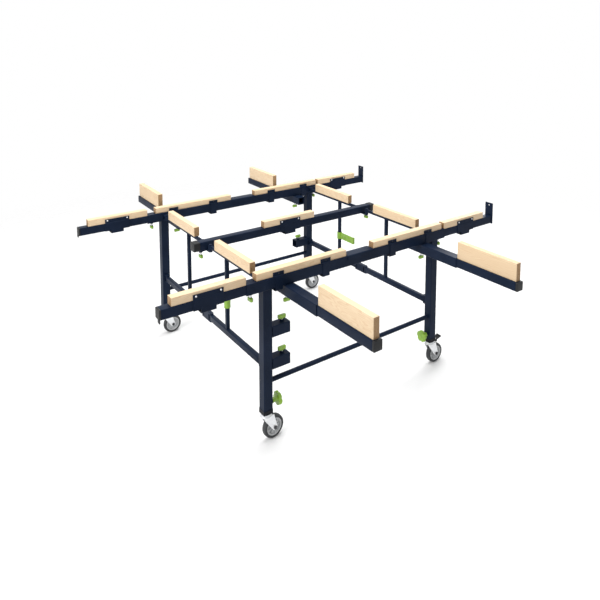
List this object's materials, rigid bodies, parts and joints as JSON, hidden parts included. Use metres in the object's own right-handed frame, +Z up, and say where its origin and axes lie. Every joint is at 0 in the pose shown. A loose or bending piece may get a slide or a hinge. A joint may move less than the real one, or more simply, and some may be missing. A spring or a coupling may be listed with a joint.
{
  "type": "mobile saw table",
  "caption": "Wheeled saw table with pine-topped steel side frames, folding gates, a lift-off centre beam and sliding supports.",
  "frame": {"origin": "on the floor under the middle of the table, feet fully in", "axes": "+X along the main beams to the ends with the upright stops, +Y from the front frame to the rear frame, +Z up"},
  "size_m": [1.8, 2.15, 0.74],
  "materials": {
    "steel": "satin powder coat",
    "wood": "planed pine",
    "green_plastic": "moulded",
    "black_plastic": "moulded",
    "zinc": "zinc plated",
    "tyre": "grey rubber on a light hub"
  },
  "bodies": {
    "front_frame": {"front_beam": "steel", "front_left_leg": "steel", "front_right_leg": "steel", "front_wood_strips": "wood", "front_strip_clamps": "steel"},
    "rear_frame": {"rear_beam": "steel", "rear_left_leg": "steel", "rear_right_leg": "steel", "rear_wood_strips": "wood", "rear_strip_clamps": "steel"},
    "left_front_gate": {"left_gate_front_half": "steel"},
    "left_link": {"left_hinge_link": "steel"},
    "left_rear_gate": {"left_gate_rear_half": "steel"},
    "right_front_gate": {"right_gate_front_half": "steel"},
    "right_link": {"right_hinge_link": "steel"},
    "right_rear_gate": {"right_gate_rear_half": "steel"},
    "centre_beam": {"centre_beam": "steel", "centre_wood_strip": "wood"},
    "left_centre_knob": {"left_centre_knob": "green_plastic"},
    "right_centre_knob": {"right_centre_knob": "green_plastic"},
    "front_left_extension": {"front_left_extension": "steel"},
    "front_left_extension_knob": {"front_left_extension_knob": "green_plastic"},
    "front_left_outrigger": {"front_left_outrigger": "steel"},
    "front_left_outrigger_knob": {"front_left_outrigger_knob": "green_plastic"},
    "front_left_foot_knob": {"front_left_foot_knob": "green_plastic"},
    "front_left_foot": {"front_left_foot_tube": "zinc"},
    "front_left_caster": {"front_left_caster_fork": "zinc"},
    "front_left_wheel": {"front_left_wheel": "tyre"},
    "front_right_extension": {"front_right_extension": "steel"},
    "front_right_extension_knob": {"front_right_extension_knob": "green_plastic"},
    "front_right_outrigger": {"front_right_outrigger": "steel"},
    "front_right_outrigger_knob": {"front_right_outrigger_knob": "green_plastic"},
    "front_right_foot_knob": {"front_right_foot_knob": "green_plastic"},
    "front_right_foot": {"front_right_foot_tube": "zinc"},
    "front_right_caster": {"front_right_caster_fork": "zinc"},
    "front_right_wheel": {"front_right_wheel": "tyre"},
    "front_right_brake_pedal": {"front_right_brake_pedal": "black_plastic"},
    "rear_left_extension": {"rear_left_extension": "steel"},
    "rear_left_extension_knob": {"rear_left_extension_knob": "green_plastic"},
    "rear_left_outrigger": {"rear_left_outrigger": "steel"},
    "rear_left_outrigger_knob": {"rear_left_outrigger_knob": "green_plastic"},
    "rear_left_foot_knob": {"rear_left_foot_knob": "green_plastic"},
    "rear_left_foot": {"rear_left_foot_tube": "zinc"},
    "rear_left_caster": {"rear_left_caster_fork": "zinc"},
    "rear_left_wheel": {"rear_left_wheel": "tyre"},
    "rear_left_brake_pedal": {"rear_left_brake_pedal": "black_plastic"},
    "rear_right_extension": {"rear_right_extension": "steel"},
    "rear_right_extension_knob": {"rear_right_extension_knob": "green_plastic"},
    "rear_right_outrigger": {"rear_right_outrigger": "steel"},
    "rear_right_outrigger_knob": {"rear_right_outrigger_knob": "green_plastic"},
    "rear_right_foot_knob": {"rear_right_foot_knob": "green_plastic"},
    "rear_right_foot": {"rear_right_foot_tube": "zinc"},
    "rear_right_caster": {"rear_right_caster_fork": "zinc"},
    "rear_right_wheel": {"rear_right_wheel": "tyre"},
    "front_upper_storage_knob": {"front_upper_storage_knob": "green_plastic"},
    "front_lower_storage_knob": {"front_lower_storage_knob": "green_plastic"},
    "rear_upper_storage_knob": {"rear_upper_storage_knob": "green_plastic"},
    "rear_lower_storage_knob": {"rear_lower_storage_knob": "green_plastic"},
    "left_latch": {"left_gate_latch": "green_plastic"},
    "right_latch": {"right_gate_latch": "green_plastic"}
  },
  "joints": [
    {"name": "fold", "type": "hinge", "parent": "front_frame", "child": "left_front_gate", "pos_m": [-0.467, -0.487, 0.5], "axis": [0, 0, -1], "range_deg": [0, 85]},
    {"name": "left_link_front_pin", "type": "hinge", "parent": "left_front_gate", "child": "left_link", "pos_m": [-0.467, -0.04, 0.5], "axis": [0, 0, 1], "range_deg": [0, 85]},
    {"name": "left_link_rear_pin", "type": "hinge", "parent": "left_link", "child": "left_rear_gate", "pos_m": [-0.467, 0.04, 0.5], "axis": [0, 0, 1], "range_deg": [0, 85]},
    {"name": "left_rear_leg_pin", "type": "hinge", "parent": "left_rear_gate", "child": "rear_frame", "pos_m": [-0.467, 0.487, 0.5], "axis": [0, 0, -1], "range_deg": [0, 85]},
    {"name": "right_front_leg_pin", "type": "hinge", "parent": "front_frame", "child": "right_front_gate", "pos_m": [0.467, -0.487, 0.5], "axis": [0, 0, 1], "range_deg": [0, 85]},
    {"name": "right_link_front_pin", "type": "hinge", "parent": "right_front_gate", "child": "right_link", "pos_m": [0.467, -0.04, 0.5], "axis": [0, 0, -1], "range_deg": [0, 85]},
    {"name": "right_link_rear_pin", "type": "hinge", "parent": "right_link", "child": "right_rear_gate", "pos_m": [0.467, 0.04, 0.5], "axis": [0, 0, -1], "range_deg": [0, 85]},
    {"name": "centre_beam_lift", "type": "slide", "parent": "front_frame", "child": "centre_beam", "axis": [0, 0, 1], "range_m": [0, 0.446]},
    {"name": "left_centre_knob_turn", "type": "hinge", "parent": "left_link", "child": "left_centre_knob", "pos_m": [-0.497, 0, 0.61], "axis": [0, 0, 1], "continuous": true},
    {"name": "right_centre_knob_turn", "type": "hinge", "parent": "right_link", "child": "right_centre_knob", "pos_m": [0.497, 0, 0.61], "axis": [0, 0, 1], "continuous": true},
    {"name": "front_left_extension_slide", "type": "slide", "parent": "front_frame", "child": "front_left_extension", "axis": [-1, 0, 0], "range_m": [0, 0.3]},
    {"name": "front_left_extension_knob_turn", "type": "hinge", "parent": "front_frame", "child": "front_left_extension_knob", "pos_m": [-0.534, -0.525, 0.61], "axis": [0, 0, 1], "continuous": true},
    {"name": "front_left_outrigger_slide", "type": "slide", "parent": "front_frame", "child": "front_left_outrigger", "axis": [0, -1, 0], "range_m": [0, 0.2]},
    {"name": "front_left_outrigger_knob_turn", "type": "hinge", "parent": "front_frame", "child": "front_left_outrigger_knob", "pos_m": [-0.368, -0.525, 0.57], "axis": [0, 0, 1], "continuous": true},
    {"name": "front_left_foot_knob_turn", "type": "hinge", "parent": "front_frame", "child": "front_left_foot_knob", "pos_m": [-0.435, -0.525, 0.157], "axis": [1, 0, 0], "continuous": true},
    {"name": "front_left_foot_slide", "type": "slide", "parent": "front_frame", "child": "front_left_foot", "axis": [0, 0, -1], "range_m": [0, 0.2]},
    {"name": "front_left_caster_swivel", "type": "hinge", "parent": "front_left_foot", "child": "front_left_caster", "pos_m": [-0.467, -0.525, 0.12], "axis": [0, 0, 1], "continuous": true},
    {"name": "front_left_wheel_spin", "type": "hinge", "parent": "front_left_caster", "child": "front_left_wheel", "pos_m": [-0.43413, -0.52212, 0.047], "axis": [-0.0872, 0.9962, 0], "continuous": true},
    {"name": "front_right_extension_slide", "type": "slide", "parent": "front_frame", "child": "front_right_extension", "axis": [1, 0, 0], "range_m": [0, 0.3]},
    {"name": "front_right_extension_knob_turn", "type": "hinge", "parent": "front_frame", "child": "front_right_extension_knob", "pos_m": [0.506, -0.525, 0.61], "axis": [0, 0, 1], "continuous": true},
    {"name": "front_right_outrigger_slide", "type": "slide", "parent": "front_frame", "child": "front_right_outrigger", "axis": [0, -1, 0], "range_m": [0, 0.2]},
    {"name": "front_right_outrigger_knob_turn", "type": "hinge", "parent": "front_frame", "child": "front_right_outrigger_knob", "pos_m": [0.395, -0.525, 0.57], "axis": [0, 0, 1], "continuous": true},
    {"name": "front_right_foot_knob_turn", "type": "hinge", "parent": "front_frame", "child": "front_right_foot_knob", "pos_m": [0.435, -0.525, 0.157], "axis": [1, 0, 0], "continuous": true},
    {"name": "front_right_foot_slide", "type": "slide", "parent": "front_frame", "child": "front_right_foot", "axis": [0, 0, -1], "range_m": [0, 0.2]},
    {"name": "front_right_caster_swivel", "type": "hinge", "parent": "front_right_foot", "child": "front_right_caster", "pos_m": [0.467, -0.525, 0.12], "axis": [0, 0, 1], "continuous": true},
    {"name": "front_right_wheel_spin", "type": "hinge", "parent": "front_right_caster", "child": "front_right_wheel", "pos_m": [0.5, -0.525, 0.047], "axis": [0, 1, 0], "continuous": true},
    {"name": "front_right_brake_pedal_press", "type": "hinge", "parent": "front_right_caster", "child": "front_right_brake_pedal", "pos_m": [0.501, -0.525, 0.1111], "axis": [0, 1, 0], "range_deg": [0, 14]},
    {"name": "rear_left_extension_slide", "type": "slide", "parent": "rear_frame", "child": "rear_left_extension", "axis": [-1, 0, 0], "range_m": [0, 0.3]},
    {"name": "rear_left_extension_knob_turn", "type": "hinge", "parent": "rear_frame", "child": "rear_left_extension_knob", "pos_m": [-0.534, 0.525, 0.61], "axis": [0, 0, 1], "continuous": true},
    {"name": "rear_left_outrigger_slide", "type": "slide", "parent": "rear_frame", "child": "rear_left_outrigger", "axis": [0, 1, 0], "range_m": [0, 0.2]},
    {"name": "rear_left_outrigger_knob_turn", "type": "hinge", "parent": "rear_frame", "child": "rear_left_outrigger_knob", "pos_m": [-0.395, 0.525, 0.57], "axis": [0, 0, 1], "continuous": true},
    {"name": "rear_left_foot_knob_turn", "type": "hinge", "parent": "rear_frame", "child": "rear_left_foot_knob", "pos_m": [-0.435, 0.525, 0.157], "axis": [1, 0, 0], "continuous": true},
    {"name": "rear_left_foot_slide", "type": "slide", "parent": "rear_frame", "child": "rear_left_foot", "axis": [0, 0, -1], "range_m": [0, 0.2]},
    {"name": "rear_left_caster_swivel", "type": "hinge", "parent": "rear_left_foot", "child": "rear_left_caster", "pos_m": [-0.467, 0.525, 0.12], "axis": [0, 0, 1], "continuous": true},
    {"name": "rear_left_wheel_spin", "type": "hinge", "parent": "rear_left_caster", "child": "rear_left_wheel", "pos_m": [-0.434, 0.525, 0.047], "axis": [0, 1, 0], "continuous": true},
    {"name": "rear_left_brake_pedal_press", "type": "hinge", "parent": "rear_left_caster", "child": "rear_left_brake_pedal", "pos_m": [-0.433, 0.525, 0.1111], "axis": [0, 1, 0], "range_deg": [0, 14]},
    {"name": "rear_right_extension_slide", "type": "slide", "parent": "rear_frame", "child": "rear_right_extension", "axis": [1, 0, 0], "range_m": [0, 0.3]},
    {"name": "rear_right_extension_knob_turn", "type": "hinge", "parent": "rear_frame", "child": "rear_right_extension_knob", "pos_m": [0.506, 0.525, 0.61], "axis": [0, 0, 1], "continuous": true},
    {"name": "rear_right_outrigger_slide", "type": "slide", "parent": "rear_frame", "child": "rear_right_outrigger", "axis": [0, 1, 0], "range_m": [0, 0.2]},
    {"name": "rear_right_outrigger_knob_turn", "type": "hinge", "parent": "rear_frame", "child": "rear_right_outrigger_knob", "pos_m": [0.368, 0.525, 0.57], "axis": [0, 0, 1], "continuous": true},
    {"name": "rear_right_foot_knob_turn", "type": "hinge", "parent": "rear_frame", "child": "rear_right_foot_knob", "pos_m": [0.435, 0.525, 0.157], "axis": [1, 0, 0], "continuous": true},
    {"name": "rear_right_foot_slide", "type": "slide", "parent": "rear_frame", "child": "rear_right_foot", "axis": [0, 0, -1], "range_m": [0, 0.2]},
    {"name": "rear_right_caster_swivel", "type": "hinge", "parent": "rear_right_foot", "child": "rear_right_caster", "pos_m": [0.467, 0.525, 0.12], "axis": [0, 0, 1], "continuous": true},
    {"name": "rear_right_wheel_spin", "type": "hinge", "parent": "rear_right_caster", "child": "rear_right_wheel", "pos_m": [0.5, 0.525, 0.047], "axis": [0, 1, 0], "continuous": true},
    {"name": "front_upper_storage_knob_turn", "type": "hinge", "parent": "front_frame", "child": "front_upper_storage_knob", "pos_m": [-0.3919, -0.525, 0.5], "axis": [0, 0, 1], "continuous": true},
    {"name": "front_lower_storage_knob_turn", "type": "hinge", "parent": "front_frame", "child": "front_lower_storage_knob", "pos_m": [-0.3919, -0.525, 0.367], "axis": [0, 0, 1], "continuous": true},
    {"name": "rear_upper_storage_knob_turn", "type": "hinge", "parent": "rear_frame", "child": "rear_upper_storage_knob", "pos_m": [0.3919, 0.525, 0.5], "axis": [0, 0, 1], "continuous": true},
    {"name": "rear_lower_storage_knob_turn", "type": "hinge", "parent": "rear_frame", "child": "rear_lower_storage_knob", "pos_m": [0.3919, 0.525, 0.367], "axis": [0, 0, 1], "continuous": true},
    {"name": "left_latch_swing", "type": "hinge", "parent": "left_front_gate", "child": "left_latch", "pos_m": [-0.467, -0.2, 0.44], "axis": [0, 0, 1], "range_deg": [0, 117]},
    {"name": "right_latch_swing", "type": "hinge", "parent": "right_rear_gate", "child": "right_latch", "pos_m": [0.467, 0.2, 0.44], "axis": [0, 0, 1], "range_deg": [0, 79]}
  ],
  "couplings": [
    {"joint": "left_link_front_pin", "follows": "fold", "ratio": 1},
    {"joint": "left_link_rear_pin", "follows": "fold", "ratio": 1},
    {"joint": "left_rear_leg_pin", "follows": "fold", "ratio": 1},
    {"joint": "right_front_leg_pin", "follows": "fold", "ratio": 1},
    {"joint": "right_link_front_pin", "follows": "fold", "ratio": 1},
    {"joint": "right_link_rear_pin", "follows": "fold", "ratio": 1},
    {"joint": "centre_beam_lift", "follows": "fold", "m_per_rad": 0.3}
  ]
}
